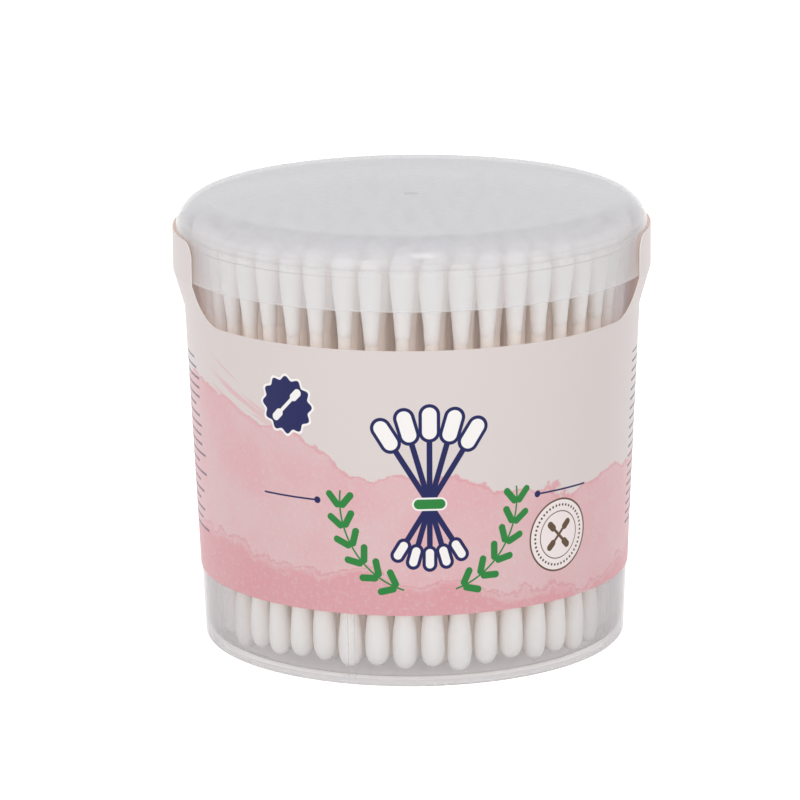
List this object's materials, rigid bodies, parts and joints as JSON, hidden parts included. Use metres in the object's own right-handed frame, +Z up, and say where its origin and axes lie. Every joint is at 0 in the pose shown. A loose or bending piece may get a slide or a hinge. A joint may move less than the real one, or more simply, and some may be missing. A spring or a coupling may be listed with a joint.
{
  "type": "cotton swab tub",
  "caption": "Round clear plastic tub with a frosted lift-off lid, a wrapped film label with two side ears, and cotton swabs standing in rings inside.",
  "frame": {"origin": "centre of the tub's foot, on the surface it stands on", "axes": "+Z up along the tub's axis, -Y out of the middle of the label, +X to the right seen from the front"},
  "size_m": [0.083, 0.0824, 0.0779],
  "materials": {
    "clear_plastic": "gloss",
    "frosted_plastic": "satin",
    "label_film": "satin",
    "paper_stick": "matte",
    "cotton": "matte"
  },
  "bodies": {
    "tub_body": {"tub": "clear_plastic", "label": "label_film", "sticks_ring_1": "paper_stick", "sticks_ring_2": "paper_stick", "sticks_ring_3": "paper_stick", "sticks_ring_4": "paper_stick", "sticks_ring_5": "paper_stick", "sticks_ring_6": "paper_stick", "sticks_ring_7": "paper_stick", "sticks_ring_8": "paper_stick", "cotton_tips_ring_1": "cotton", "cotton_tips_ring_2": "cotton", "cotton_tips_ring_3": "cotton", "cotton_tips_ring_4": "cotton", "cotton_tips_ring_5": "cotton", "cotton_tips_ring_6": "cotton", "cotton_tips_ring_7": "cotton", "cotton_tips_ring_8": "cotton"},
    "lid_body": {"lid": "frosted_plastic"}
  },
  "joints": [
    {"name": "lid_lift", "type": "slide", "parent": "tub_body", "child": "lid_body", "axis": [0, 0, 1], "range_m": [0, 0.025]}
  ]
}
